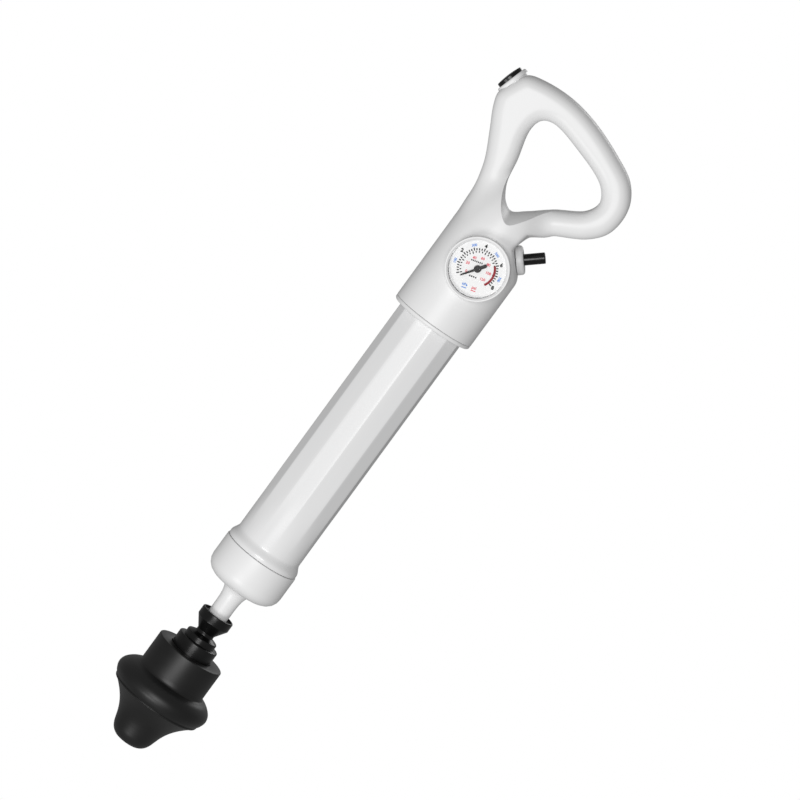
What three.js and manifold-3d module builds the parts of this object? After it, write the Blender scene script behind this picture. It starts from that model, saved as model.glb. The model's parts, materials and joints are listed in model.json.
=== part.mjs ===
// Hand air pump for clearing drains, standing on the tip of its rubber head.
// Millimetres. +Z runs up the barrel's axis, the hand loop lies in the XZ plane, the gauge faces -Y.
import * as THREE from "three";
import { mergeVertices } from "three/addons/utils/BufferGeometryUtils.js";
import Module from "manifold-3d";

const wasm = await Module();
wasm.setup();

// Clearance left between neighbouring pieces, and the number of flats on round pieces.
const GAP = 0.3;
const ROUND = 36;
const SMALL_ROUND = 18;
const HIDDEN_ROUND = 24;

// Heights of the pieces stacked along the axis, from the tip of the rubber head.
const HEAD_SOCKET = 60;
const HEAD_TOP = 78.5;
const ADAPTER_TOP = 112.8;
const CAP_BOTTOM = 136.6;
const CAP_FLOOR = 145;
const CAP_TOP = 165.6;
const BARREL_BOTTOM = 148;
const BARREL_TOP = 398;
const GLAND_TOP = 402;
const MOUTH_Z = 369.6;
const SLEEVE_BOTTOM = 372.7;
const LOOP_TOP_Z = 555.2;
const BLOCK_BOTTOM = 405.3;
const TANK_TOP = 421;

// Main radii.
const AIR_BORE = 4;
const BARREL_CORNER = 25.9;
const BARREL_FLATS = 12;
const BARREL_TURN = THREE.MathUtils.degToRad(7);
const BARREL_BORE = 21.5;
const SLEEVE_RADIUS = 31.5;
const WALL = 2.6;
const TANK_RADIUS = 17;
const TANK_BORE = 14.5;
const SEAL_SECTION = 0.85;

// Hand loop: half its thickness front to back, and how far its long edges are rounded.
const LOOP_HALF_DEPTH = 15.5;
const LOOP_ROUNDING = 8;

// Gauge, thumb valve and relief valve: where each axis crosses the handle, and its outward direction.
const GAUGE = { x: 3.7, z: 422.9, radius: 22.65, caseRadius: 20.3, front: 38.2, zeroAngle: -136 };
const THUMB = { at: [-52.3, 0, 539.1], out: [-0.959, 0, 0.283] };
const RELIEF = { at: [26, 0, 443.6], out: [0.75, 0, 0.66] };

const MATERIALS = {
  whiteGloss: new THREE.MeshStandardMaterial({ color: "#eeeeee", roughness: 0.35, metalness: 0 }),
  milky: new THREE.MeshStandardMaterial({ color: "#e4e4e4", roughness: 0.2, metalness: 0 }),
  blackGloss: new THREE.MeshStandardMaterial({ color: "#0c0c0c", roughness: 0.25, metalness: 0 }),
  rubber: new THREE.MeshStandardMaterial({ color: "#1b1b1b", roughness: 0.7, metalness: 0 }),
  seal: new THREE.MeshStandardMaterial({ color: "#222222", roughness: 0.8, metalness: 0 }),
  brass: new THREE.MeshStandardMaterial({ color: "#b5893d", roughness: 0.35, metalness: 1 }),
  steel: new THREE.MeshStandardMaterial({ color: "#9a9a9a", roughness: 0.35, metalness: 1 }),
  aluminium: new THREE.MeshStandardMaterial({ color: "#c8cacc", roughness: 0.4, metalness: 1 }),
  dial: new THREE.MeshStandardMaterial({ color: "#fafafa", roughness: 0.5, metalness: 0 }),
  lens: new THREE.MeshStandardMaterial({ color: "#fff", roughness: 0.05, transparent: true, opacity: 0.3 }),
};

// Solids, booleans and placing.

function toSolid(geometry) {
  const bare = geometry.index ? geometry.toNonIndexed() : geometry.clone();
  bare.deleteAttribute("normal");
  bare.deleteAttribute("uv");
  const merged = mergeVertices(bare, 1e-4);
  const mesh = new wasm.Mesh({
    numProp: 3,
    vertProperties: merged.attributes.position.array,
    triVerts: new Uint32Array(merged.index.array),
  });
  return new wasm.Manifold(mesh);
}

function toGeometry(solid) {
  const mesh = solid.getMesh();
  const geometry = new THREE.BufferGeometry();
  geometry.setAttribute("position", new THREE.BufferAttribute(mesh.vertProperties, 3));
  geometry.setIndex(new THREE.BufferAttribute(mesh.triVerts, 1));
  geometry.computeVertexNormals();
  return geometry;
}

// A turned solid about +Z from (radius, height) pairs, listed up the outside.
function turned(profile, segments = ROUND, startAngle = 0) {
  const onAxis = profile[0][0] === 0;
  const loop = onAxis ? profile : [...profile, profile[0]];
  const points = loop.map(([r, z]) => new THREE.Vector2(r, z));
  return new THREE.LatheGeometry(points, segments, startAngle).rotateX(Math.PI / 2);
}

function disc(radius, low, high, segments = SMALL_ROUND) {
  return turned([[0, low], [radius, low], [radius, high], [0, high]], segments);
}

function ring(inner, outer, low, high, segments = HIDDEN_ROUND) {
  return turned([[inner, low], [outer, low], [outer, high], [inner, high]], segments);
}

// A seal of round section, lying across the axis.
function oRing(radius, height, section = SEAL_SECTION) {
  const sides = 6;
  const profile = [];
  for (let i = 0; i < sides; i++) {
    const angle = (2 * Math.PI * i) / sides;
    profile.push([radius + section * Math.cos(angle), height + section * Math.sin(angle)]);
  }
  return turned(profile, HIDDEN_ROUND);
}

// Points of an arc in the profile plane, from one angle to another in degrees.
function arc(r, z, radius, from, to, steps) {
  const points = [];
  for (let i = 0; i <= steps; i++) {
    const angle = THREE.MathUtils.degToRad(from + ((to - from) * i) / steps);
    points.push([r + radius * Math.cos(angle), z + radius * Math.sin(angle)]);
  }
  return points;
}

// A group whose own +Z points the given way.
function aimed([x, y, z], direction) {
  const group = new THREE.Group();
  group.position.set(x, y, z);
  const target = new THREE.Vector3(...direction).normalize();
  group.quaternion.setFromUnitVectors(new THREE.Vector3(0, 0, 1), target);
  group.updateMatrixWorld(true);
  return group;
}

function placed(geometry, group) {
  return toSolid(geometry.clone().applyMatrix4(group.matrixWorld));
}

function addPiece(group, name, geometry, material) {
  const mesh = new THREE.Mesh(geometry, material);
  mesh.name = name;
  group.add(mesh);
}

const pump = new THREE.Group();
const gaugeMount = aimed([GAUGE.x, 0, GAUGE.z], [0, -1, 0]);
const thumbMount = aimed(THUMB.at, THUMB.out);
const reliefMount = aimed(RELIEF.at, RELIEF.out);
pump.add(gaugeMount, thumbMount, reliefMount);

// Rubber head, adapter and spout.

function rubberHead() {
  const tip = arc(7.4, 8.6, 8.6, -90, -20, 4);
  const bell = [[17.4, 12.8], [20.5, 20.3], [25, 27.2], [29.6, 32], [34, 36.4]];
  const flange = [[37.1, 40], [38, 43.5], [36.5, 48], [32.3, 52.4], [26.15, 55.6]];
  const collar = [[26.15, HEAD_TOP - 1.5], [24.65, HEAD_TOP]];
  const socket = [[15.6, HEAD_TOP], [15.6, HEAD_SOCKET], [AIR_BORE, HEAD_SOCKET], [AIR_BORE, 0]];
  return turned([...tip, ...bell, ...flange, ...collar, ...socket]);
}

function adapter() {
  const foot = HEAD_SOCKET + GAP;
  const stub = [[AIR_BORE, foot], [15.25, foot], [15.25, 89], [12, 89.3], [12, 93.4]];
  const waist = [[6.9, 95.5], [6.9, 99.1], [12.6, 106.3], [12.6, ADAPTER_TOP]];
  const recess = [[7.9, ADAPTER_TOP], [7.9, 108.5], [9.2, 108.5], [9.2, 106.3], [7.9, 106.3], [7.9, 103]];
  return turned([...stub, ...waist, ...recess, [AIR_BORE, 103]], HIDDEN_ROUND);
}

function spout() {
  const outside = [[7.6, 103.5], [7.6, 128.6], [8, 132], [9.5, CAP_BOTTOM - GAP]];
  const thread = [[6.5, CAP_BOTTOM - GAP], [6.5, 149.5], [AIR_BORE, 149.5]];
  return turned([[AIR_BORE, 103.5], ...outside, ...thread], SMALL_ROUND);
}

function spoutNut() {
  return toGeometry(
    toSolid(disc(11, CAP_FLOOR + GAP, 149, 6)).subtract(toSolid(disc(6.8, CAP_FLOOR - 1, 150))),
  );
}

// Barrel with its cap and gland.

function endCap() {
  const rounding = 13;
  const radius = 29;
  const corner = arc(radius - rounding, CAP_BOTTOM + rounding, rounding, -90, 0, 6);
  const rim = [[radius, CAP_TOP], [26.9, CAP_TOP], [26.9, CAP_FLOOR], [6.8, CAP_FLOOR]];
  return turned([[6.8, CAP_BOTTOM], ...corner, ...rim]);
}

function barrelTube() {
  const foot = [[0, BARREL_BOTTOM], [26.6, BARREL_BOTTOM], [26.6, CAP_TOP + GAP]];
  const flare = [[28.4, CAP_TOP + GAP], [28.4, 168], [27, 170.5], [26, 174], [24.8, 176], [0, 176]];
  const flats = [[0, 170], [BARREL_CORNER, 170], [BARREL_CORNER, BARREL_TOP], [0, BARREL_TOP]];
  const bore = disc(BARREL_BORE, BARREL_BOTTOM - 1, BARREL_TOP + 1, HIDDEN_ROUND);
  const outside = toSolid(turned([...foot, ...flare])).add(
    toSolid(turned(flats, BARREL_FLATS, BARREL_TURN)),
  );
  return toGeometry(outside.subtract(toSolid(bore)));
}

function gland() {
  const bore = TANK_RADIUS + GAP;
  const body = BARREL_BORE - GAP;
  const seat = BARREL_TOP + GAP;
  const outside = [[bore, 378], [body, 378], [body, seat], [24, seat], [24, GLAND_TOP]];
  const groove = [[bore, GLAND_TOP], [bore, 388], [19.4, 388], [19.4, 385], [bore, 385]];
  return turned([...outside, ...groove], HIDDEN_ROUND);
}

addPiece(pump, "rubber_head", rubberHead(), MATERIALS.rubber);
addPiece(pump, "outlet_adapter", adapter(), MATERIALS.blackGloss);
addPiece(pump, "spout_seal", oRing(8.45, 107.4, 0.6), MATERIALS.seal);
addPiece(pump, "spout", spout(), MATERIALS.whiteGloss);
addPiece(pump, "spout_nut", spoutNut(), MATERIALS.brass);
addPiece(pump, "end_cap", endCap(), MATERIALS.whiteGloss);
addPiece(pump, "cap_gasket", ring(20.5, 26.3, CAP_FLOOR + GAP, BARREL_BOTTOM - GAP), MATERIALS.seal);
addPiece(pump, "barrel_tube", barrelTube(), MATERIALS.milky);
addPiece(pump, "gland_bush", gland(), MATERIALS.whiteGloss);
addPiece(pump, "gland_seal", oRing(18.35, 386.5), MATERIALS.seal);
addPiece(pump, "bump_washer", ring(17.6, 23, GLAND_TOP + GAP, BLOCK_BOTTOM - GAP), MATERIALS.rubber);

// Piston and air tank, which move with the handle.

const PISTON_BOTTOM = 151;
const PISTON_RADIUS = 21.1;
const PISTON_SHOULDER = 165;
const SEAT_Z = 176;
const FLAP_RADII = [10.4, 13.8];
const PORT_COUNT = 4;
const PORT_RING = 12.2;

// Runs a cutting tool out to each of the evenly spaced ports and takes it from the solid.
function cutPorts(solid, tool) {
  let cut = solid;
  for (let i = 0; i < PORT_COUNT; i++) {
    const turnedTool = tool.clone().rotateZ((2 * Math.PI * i) / PORT_COUNT);
    cut = cut.subtract(toSolid(turnedTool));
  }
  return cut;
}

function piston() {
  const skirt = [[6, PISTON_BOTTOM], [PISTON_RADIUS, PISTON_BOTTOM], [PISTON_RADIUS, 155], [17.4, 155]];
  const land = [[17.4, 162], [PISTON_RADIUS, 162], [PISTON_RADIUS, PISTON_SHOULDER]];
  const spigot = [[14.2, PISTON_SHOULDER], [14.2, 167.5], [11, 167.5], [11, 170.5], [14.2, 170.5]];
  const profile = [...skirt, ...land, ...spigot, [14.2, SEAT_Z], [6, SEAT_Z]];
  const port = disc(0.9, 169, SEAT_Z + 1, 8).translate(PORT_RING, 0, 0);
  return toGeometry(cutPorts(toSolid(turned(profile, HIDDEN_ROUND)), port));
}

function pistonSeal() {
  const heel = [[17.7, 155.3], [20.6, 155.3], [21.3, 161.7]];
  return turned([...heel, [20, 161.7], [19.4, 157.5], [17.7, 157.5]], HIDDEN_ROUND);
}

function tankTube() {
  const tube = ring(TANK_BORE, TANK_RADIUS, PISTON_SHOULDER + GAP, TANK_TOP);
  const port = disc(1.3, 10, 20, 8).rotateY(Math.PI / 2).translate(0, 0, 169);
  return toGeometry(cutPorts(toSolid(tube), port));
}

// Valve block on top of the tank: the pilot cylinder hangs inside it, the gauge and relief ports cut in.
function valveBlock() {
  const pilot = [[0, 440], [7, 440], [7, 410], [9.5, 410], [9.5, 428], [TANK_BORE, 428]];
  const tankBore = TANK_RADIUS + GAP;
  const stop = TANK_TOP + GAP;
  const skirt = [[TANK_BORE, stop], [tankBore, stop], [tankBore, 415], [19.3, 415], [19.3, 412]];
  const outside = [[tankBore, 412], [tankBore, BLOCK_BOTTOM], [21, BLOCK_BOTTOM], [21, 432], [12, 444]];
  const solid = toSolid(turned([...pilot, ...skirt, ...outside, [0, 444]], HIDDEN_ROUND));
  const reliefBore = placed(disc(5.3, -17.3, 5), reliefMount);
  const reliefPort = placed(disc(1.2, -25, -16, 8), reliefMount);
  const gaugeBore = placed(disc(4.6, 17.2, 30), gaugeMount);
  const gaugePort = placed(disc(1.2, 13, 18, 8), gaugeMount);
  const pilotPort = toSolid(disc(2.8, 441, 450, 12).translate(-8, 0, 0));
  const pilotWay = toSolid(disc(1, 438, 445, 8).translate(-6, 0, 0));
  return toGeometry(
    solid.subtract(reliefBore).subtract(reliefPort).subtract(gaugeBore).subtract(gaugePort)
      .subtract(pilotPort).subtract(pilotWay),
  );
}

// The dump valve: a rubber-faced disc on the seat, its rod, and the pilot piston that lifts it.
function dumpPoppet() {
  return turned([[0, SEAT_Z + GAP], [9.4, SEAT_Z + GAP], [9.4, 179], [3, 180.5], [0, 180.5]], SMALL_ROUND);
}

function releaseRod() {
  const shaft = [[0, 180.8], [2.2, 180.8], [2.2, 412], [6.7, 412], [6.7, 416]];
  return turned([...shaft, [0, 416]], SMALL_ROUND);
}

class Helix extends THREE.Curve {
  constructor(radius, low, high, turns) {
    super();
    Object.assign(this, { radius, low, high, turns });
  }

  getPoint(t, target = new THREE.Vector3()) {
    const angle = 2 * Math.PI * this.turns * t;
    const height = this.low + (this.high - this.low) * t;
    return target.set(this.radius * Math.cos(angle), this.radius * Math.sin(angle), height);
  }
}

// A coil spring standing between two heights, its wire clear of both.
function spring(radius, low, high, turns, wire = 0.45) {
  const section = new THREE.Shape().absarc(0, 0, wire, 0, 2 * Math.PI);
  const path = new Helix(radius, low + wire + GAP, high - wire - GAP, turns);
  return new THREE.ExtrudeGeometry(section, { steps: turns * 8, curveSegments: 2, extrudePath: path });
}

addPiece(pump, "piston", piston(), MATERIALS.aluminium);
addPiece(pump, "piston_seal", pistonSeal(), MATERIALS.seal);
addPiece(pump, "check_flap", ring(...FLAP_RADII, SEAT_Z + GAP, SEAT_Z + 1.2), MATERIALS.seal);
addPiece(pump, "tank_tube", tankTube(), MATERIALS.aluminium);
addPiece(pump, "valve_block", valveBlock(), MATERIALS.aluminium);
addPiece(pump, "tank_seal", oRing(18.3, 413.5), MATERIALS.seal);
addPiece(pump, "dump_poppet", dumpPoppet(), MATERIALS.rubber);
addPiece(pump, "release_rod", releaseRod(), MATERIALS.steel);
addPiece(pump, "dump_spring", spring(5.2, 416, 440, 6), MATERIALS.steel);

// Handle shells.

const LOOP_LEFT = [[-32.6, 464], [-38, 484], [-46.8, 502], [-55.3, 519], [-57.3, 528]];
const LOOP_TOP = [[-53, 540], [-48, 550.3], [-36, LOOP_TOP_Z], [-14, LOOP_TOP_Z], [8, 551.6], [35, 541.6]];
const LOOP_NOSE = [[54.5, 530], [64, 514.5], [63.2, 495], [54, 481.6], [32, 467.5]];
const LOOP_ROOT = [[20.5, 458], [14, 448]];
const LOOP_FOOT = [[4, 440], [-10, 437], [-23, 441], [-30.5, 451]];
const HOLE = [
  [-0.5, 464], [7, 471.5], [21.5, 485], [40, 497.5], [44.3, 506.5], [38, 516.5], [10.5, 528.5],
  [-14, 534.2], [-22.5, 529.5], [-23.8, 519], [-18.5, 496], [-14.5, 477.5], [-8.5, 467.5],
];

function outline(points) {
  return points.map(([x, z]) => new THREE.Vector2(x, z));
}

// Evenly stepped points of the closed smooth curve through the given ones.
function smoothOutline(points) {
  const curve = new THREE.CatmullRomCurve3(points.map(([x, z]) => new THREE.Vector3(x, z, 0)), true);
  const steps = curve.getPoints(points.length * 2).slice(0, -1);
  return steps.map((p) => new THREE.Vector2(p.x, p.y));
}

// The loop with its hand hole; its foot is buried in the round body.
function loopShape() {
  const rim = [...LOOP_LEFT, ...LOOP_TOP, ...LOOP_NOSE, ...LOOP_ROOT];
  const shape = new THREE.Shape(smoothOutline([...rim, ...LOOP_FOOT]));
  shape.holes.push(new THREE.Path(smoothOutline(HOLE)));
  return shape;
}

// Lays an extrusion of an XZ outline across the handle, evenly to the front and the back.
function acrossHandle(shape, halfDepth, options) {
  const depth = 2 * (halfDepth - options.bevelThickness);
  const geometry = new THREE.ExtrudeGeometry(shape, { depth, curveSegments: 3, ...options });
  return toSolid(geometry.translate(0, 0, -depth / 2).rotateX(Math.PI / 2));
}

function roundedLoop(inset) {
  const rounding = LOOP_ROUNDING - inset * 0.8;
  return acrossHandle(loopShape(), LOOP_HALF_DEPTH - inset, {
    bevelThickness: rounding,
    bevelSize: rounding,
    bevelOffset: -rounding - inset,
    bevelSegments: inset ? 1 : 2,
  });
}

function plainPrism(shape, grow) {
  return acrossHandle(shape, 45, {
    bevelThickness: 1,
    bevelSize: 0,
    bevelOffset: grow,
    bevelSegments: 1,
  });
}

// What is cut from the round body on the relief valve's side, under the loop's lower bar.
function shoulderShape() {
  const flat = [[34, 425.5], [32, 428.3], [15.4, 447], [16.4, 452.4]];
  const bar = [[20.5, 458], [32, 467.5], [54, 481.6], [70, 481], [70, 425.5]];
  return new THREE.Shape(outline([...flat, ...bar]));
}

function roundBody(inset) {
  const radius = SLEEVE_RADIUS - inset;
  const low = SLEEVE_BOTTOM - (inset ? 5 : 0);
  const wall = [[0, low], [radius, low], [radius, 440], [radius - 0.7, 453]];
  const crown = [[radius - 3, 465], [radius - 7.5, 476], [radius - 14, 485], [0, 492 - inset]];
  const hole = plainPrism(new THREE.Shape(smoothOutline(HOLE)), inset);
  const shoulder = plainPrism(shoulderShape(), inset);
  return toSolid(turned([...wall, ...crown])).subtract(hole).subtract(shoulder);
}

const SCREWS = [[-24.8, 488], [-20, 543.5], [25, 534.5], [54, 505.5], [32, 479.5]];

function screwMount([x, z]) {
  return aimed([x, 0, z], [0, 1, 0]);
}

function screw() {
  const shank = [[0, -8], [1, -7], [1.4, -6], [1.4, 9.3], [3.2, 9.3]];
  return turned([...shank, [3.2, 10.5], [2, 11.6], [0, 11.6]], 12);
}

function handleShell() {
  const outside = roundBody(0).add(roundedLoop(0));
  let shell = outside.subtract(roundBody(WALL).add(roundedLoop(WALL)));
  for (const spot of SCREWS) {
    const boss = placed(disc(4.8, -14, 14, 16), screwMount(spot));
    shell = shell.add(boss.intersect(outside));
  }
  for (const height of [407.5, 427]) {
    shell = shell.add(toSolid(ring(21.4, 30, height, height + 2.5)));
  }
  const gaugeBoss = placed(disc(GAUGE.radius, 8, 33, ROUND), gaugeMount);
  shell = shell.add(gaugeBoss.subtract(toSolid(disc(29.5, 380, 460, ROUND))));
  shell = shell.subtract(placed(disc(GAUGE.caseRadius + GAP, 8, 40, ROUND), gaugeMount));
  shell = shell.subtract(placed(disc(5.4, -15, 5), reliefMount));
  shell = shell.subtract(placed(disc(10.9, -12, 20), thumbMount));
  shell = shell.subtract(placed(disc(12.3, 0, 20, ROUND), thumbMount));
  shell = shell.subtract(placed(disc(10.7, -5.5, 5, ROUND), reliefMount));
  for (const spot of SCREWS) {
    shell = shell.subtract(placed(disc(1.7, -9, 16, 12), screwMount(spot)));
    shell = shell.subtract(placed(disc(3.5, 9, 20, 16), screwMount(spot)));
  }
  return shell;
}

// One half of the handle, on the given side of the parting plane.
function halfShell(shell, side) {
  const size = 2 * (LOOP_TOP_Z + 10);
  const box = new THREE.BoxGeometry(size, size, size).translate(0, (side * (size + GAP)) / 2, 0);
  return toGeometry(shell.intersect(toSolid(box)));
}

function mouthRing() {
  const inner = BARREL_CORNER + 0.5;
  const lip = SLEEVE_RADIUS - WALL - GAP;
  const rim = [[inner, MOUTH_Z], [30.7, MOUTH_Z], [SLEEVE_RADIUS, MOUTH_Z + 0.8], [SLEEVE_RADIUS, 372.4]];
  return turned([...rim, [lip, 372.4], [lip, 384], [inner, 384]]);
}

const shell = handleShell();
addPiece(pump, "handle_front_shell", halfShell(shell, -1), MATERIALS.whiteGloss);
addPiece(pump, "handle_rear_shell", halfShell(shell, 1), MATERIALS.whiteGloss);
addPiece(pump, "sleeve_mouth_ring", mouthRing(), MATERIALS.whiteGloss);
SCREWS.forEach((spot, index) => {
  const mount = screwMount(spot);
  pump.add(mount);
  addPiece(mount, `body_screw_${index + 1}`, screw(), MATERIALS.steel);
});

// Pressure gauge. Its mount's +Z faces the viewer.

function gaugeCase() {
  const back = 23;
  const floor = back + 1.2;
  const radius = GAUGE.caseRadius;
  const profile = [[1.6, back], [radius, back], [radius, 33], [19, 33], [19, floor], [1.6, floor]];
  return turned(profile, HIDDEN_ROUND);
}

function gaugeStem() {
  return turned([[1.2, 17.5], [4.3, 17.5], [4.3, 22.7], [1.2, 22.7]], SMALL_ROUND);
}

function gaugeBezel() {
  const front = GAUGE.front;
  const outside = [[GAUGE.radius, 33 + GAP], [GAUGE.radius, front - 1.5], [GAUGE.radius - 1.2, front]];
  return turned([[20.4, 33 + GAP], ...outside, [19.9, front], [19.9, 36.9], [20.4, 36.9]]);
}

// The pointer lies along the zero mark, with its pivot running back through the dial.
function gaugeNeedle() {
  const pointer = new THREE.Shape(outline([[-0.8, -5], [0.8, -5], [0.35, 15], [-0.35, 15]]));
  const blade = new THREE.ExtrudeGeometry(pointer, { depth: 0.5, bevelEnabled: false });
  blade.rotateZ(-THREE.MathUtils.degToRad(GAUGE.zeroAngle)).translate(0, 0, 34.9);
  const hub = turned([[0, 26], [0.7, 26], [0.7, 34.6], [2.6, 34.6], [2.6, 36], [0, 36]], SMALL_ROUND);
  return toGeometry(toSolid(blade).add(toSolid(hub)));
}

// The flattened tube that bends with pressure and turns the needle.
function bourdonTube() {
  const bend = new THREE.EllipseCurve(0, 0, 14, 14, -1.4, 3);
  const points = bend.getPoints(16).map((p) => new THREE.Vector3(p.x, p.y, 28.4));
  const section = new THREE.Shape().absellipse(0, 0, 2.6, 1.2, 0, 2 * Math.PI);
  const path = new THREE.CatmullRomCurve3(points);
  return new THREE.ExtrudeGeometry(section, { steps: 14, curveSegments: 3, extrudePath: path });
}

addPiece(gaugeMount, "gauge_case", gaugeCase(), MATERIALS.steel);
addPiece(gaugeMount, "gauge_stem", gaugeStem(), MATERIALS.brass);
addPiece(gaugeMount, "bourdon_tube", bourdonTube(), MATERIALS.brass);
addPiece(gaugeMount, "gauge_dial", ring(1, 20, 33.4, 34.2), MATERIALS.dial);
addPiece(gaugeMount, "gauge_bezel", gaugeBezel(), MATERIALS.whiteGloss);
addPiece(gaugeMount, "gauge_lens", disc(20.1, 36.2, 36.7, HIDDEN_ROUND), MATERIALS.lens);
addPiece(gaugeMount, "gauge_needle", gaugeNeedle(), MATERIALS.blackGloss);

// Thumb valve. Its mount's +Z points out of the handle's corner.

function thumbCollar() {
  const sleeve = [[4.3, -4], [10.6, -4], [10.6, GAP], [12, GAP], [12, 2.2], [11, 3.2]];
  return turned([...sleeve, [9.8, 3.2], [9.8, -2.7], [4.3, -2.7]], HIDDEN_ROUND);
}

function thumbButton() {
  const stem = [[0, -10], [4, -10], [4, 1.6], [9.5, 1.6]];
  return turned([...stem, [9.5, 5.2], [8.5, 6.2], [0, 6.2]], HIDDEN_ROUND);
}

function pilotValve() {
  const cup = turned([[0, -22], [6.5, -22], [6.5, -4.3], [4.9, -4.3], [4.9, -20.5], [0, -20.5]], SMALL_ROUND);
  const port = disc(1, 3, 9, 8).rotateY(Math.PI / 2).translate(0, 0, -15);
  return toGeometry(toSolid(cup).subtract(toSolid(port)));
}

// The air line from the thumb valve's side down the loop's left limb to the valve block.
function pilotTube() {
  const route = [
    [-39.9, 527.5], [-41.6, 519], [-39.8, 508], [-36, 497], [-32, 487], [-27, 474], [-19, 463], [-11, 455.5],
    [-8, 449], [-8, 444], [-8, 441.5],
  ];
  const path = new THREE.CatmullRomCurve3(route.map(([x, z]) => new THREE.Vector3(x, 0, z)));
  const section = new THREE.Shape().absarc(0, 0, 2.2, 0, 2 * Math.PI);
  section.holes.push(new THREE.Path().absarc(0, 0, 1, 0, 2 * Math.PI));
  return new THREE.ExtrudeGeometry(section, { steps: 20, curveSegments: 3, extrudePath: path });
}

addPiece(thumbMount, "thumb_collar", thumbCollar(), MATERIALS.whiteGloss);
addPiece(thumbMount, "thumb_button", thumbButton(), MATERIALS.blackGloss);
addPiece(thumbMount, "pilot_valve", pilotValve(), MATERIALS.brass);
addPiece(thumbMount, "thumb_spring", spring(3.2, -20.5, -10, 5), MATERIALS.steel);
addPiece(pump, "pilot_tube", pilotTube(), MATERIALS.milky);

// Relief valve. Its mount's +Z points out of the handle's shoulder, from the collar's face.

function reliefCollar() {
  const inner = 4.15;
  const radius = 10.4;
  const corner = arc(radius - 3, -3, 3, 0, 90, 3);
  return turned([[inner, -5.2], [radius, -5.2], ...corner, [inner, 0]], HIDDEN_ROUND);
}

function reliefSeat() {
  const wall = [[1, -17], [5, -17], [5, -6.2], [4.15, -6.2], [4.15, -15.8]];
  return turned([...wall, [1, -15.8]], SMALL_ROUND);
}

function reliefStem() {
  return turned([[0, -8], [3.85, -8], [3.85, 14.3], [3.25, 14.9], [0, 14.9]], SMALL_ROUND);
}

addPiece(reliefMount, "relief_collar", reliefCollar(), MATERIALS.whiteGloss);
addPiece(reliefMount, "relief_seat", reliefSeat(), MATERIALS.brass);
addPiece(reliefMount, "relief_stem", reliefStem(), MATERIALS.blackGloss);
addPiece(reliefMount, "relief_spring", spring(2.8, -15.8, -8, 4), MATERIALS.steel);

export default pump;
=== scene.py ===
"""Looks of a hand air pump for clearing drains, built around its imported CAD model.

Metres in the scene; profiles and outlines are written in millimetres and scaled by MM.
+Z runs up the barrel, the gauge faces -Y and the hand loop lies in the XZ plane.
"""
import json
import math

import bmesh
import bpy
import numpy as np
from mathutils import Matrix, Vector


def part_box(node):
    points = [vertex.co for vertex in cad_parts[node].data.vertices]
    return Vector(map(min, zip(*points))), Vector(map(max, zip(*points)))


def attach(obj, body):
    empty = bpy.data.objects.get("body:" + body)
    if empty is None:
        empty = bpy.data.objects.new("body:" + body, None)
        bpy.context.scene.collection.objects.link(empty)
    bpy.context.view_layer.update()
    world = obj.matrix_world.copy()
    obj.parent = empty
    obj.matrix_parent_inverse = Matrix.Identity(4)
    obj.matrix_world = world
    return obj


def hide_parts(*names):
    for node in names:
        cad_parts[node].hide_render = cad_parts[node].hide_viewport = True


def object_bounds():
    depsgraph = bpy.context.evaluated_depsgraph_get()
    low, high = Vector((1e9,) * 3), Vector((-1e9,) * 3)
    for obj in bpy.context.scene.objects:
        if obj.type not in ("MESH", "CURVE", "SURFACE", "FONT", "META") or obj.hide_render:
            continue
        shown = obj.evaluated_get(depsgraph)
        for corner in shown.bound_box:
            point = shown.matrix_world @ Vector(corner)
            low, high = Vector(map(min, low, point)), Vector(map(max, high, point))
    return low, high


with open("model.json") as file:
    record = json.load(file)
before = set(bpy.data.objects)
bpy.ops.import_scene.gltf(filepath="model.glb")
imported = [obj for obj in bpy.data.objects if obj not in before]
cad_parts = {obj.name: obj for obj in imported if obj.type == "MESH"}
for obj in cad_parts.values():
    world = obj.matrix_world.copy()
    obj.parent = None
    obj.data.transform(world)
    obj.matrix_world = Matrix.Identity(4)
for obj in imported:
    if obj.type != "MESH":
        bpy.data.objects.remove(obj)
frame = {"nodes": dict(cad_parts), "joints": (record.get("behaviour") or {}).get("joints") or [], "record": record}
cad_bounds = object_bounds()

MM = 0.001
GAP = 0.3
FULL_TURN = 2 * math.pi
ROUND = 144


def joint(name):
    """The frame's entry for a joint."""
    return next(j for j in frame["joints"] if j["name"] == name)


def in_mm(node):
    """A CAD node's lowest and highest corners, in millimetres."""
    low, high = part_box(node)
    return low / MM, high / MM


# ---------------------------------------------------------------- curves and profiles


def smooth_closed(points, per=12):
    """Closed centripetal Catmull-Rom curve through the points."""
    pts = [np.array(p, float) for p in points]
    count = len(pts)
    made = []
    for i in range(count):
        p0, p1, p2, p3 = (pts[(i + k - 1) % count] for k in range(4))
        d0, d1, d2 = (math.sqrt(np.linalg.norm(b - a)) for a, b in ((p0, p1), (p1, p2), (p2, p3)))
        t1 = ((p1 - p0) / d0 - (p2 - p0) / (d0 + d1) + (p2 - p1) / d1) * d1
        t2 = ((p2 - p1) / d1 - (p3 - p1) / (d1 + d2) + (p3 - p2) / d2) * d1
        for k in range(per):
            s = k / per
            made.append(p1 + t1 * s + (3 * (p2 - p1) - 2 * t1 - t2) * s**2
                        + (2 * (p1 - p2) + t1 + t2) * s**3)
    return np.array(made)


def smooth_open(points, per=8):
    """Open Catmull-Rom curve through the points."""
    pts = [np.array(p, float) for p in points]
    pts = [2 * pts[0] - pts[1], *pts, 2 * pts[-1] - pts[-2]]
    made = []
    for p0, p1, p2, p3 in zip(pts, pts[1:], pts[2:], pts[3:]):
        for k in range(per):
            s = k / per
            made.append(0.5 * (2 * p1 + (p2 - p0) * s + (2 * p0 - 5 * p1 + 4 * p2 - p3) * s**2
                               + (3 * p1 - p0 - 3 * p2 + p3) * s**3))
    made.append(pts[-2])
    return [tuple(p) for p in made]


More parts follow.
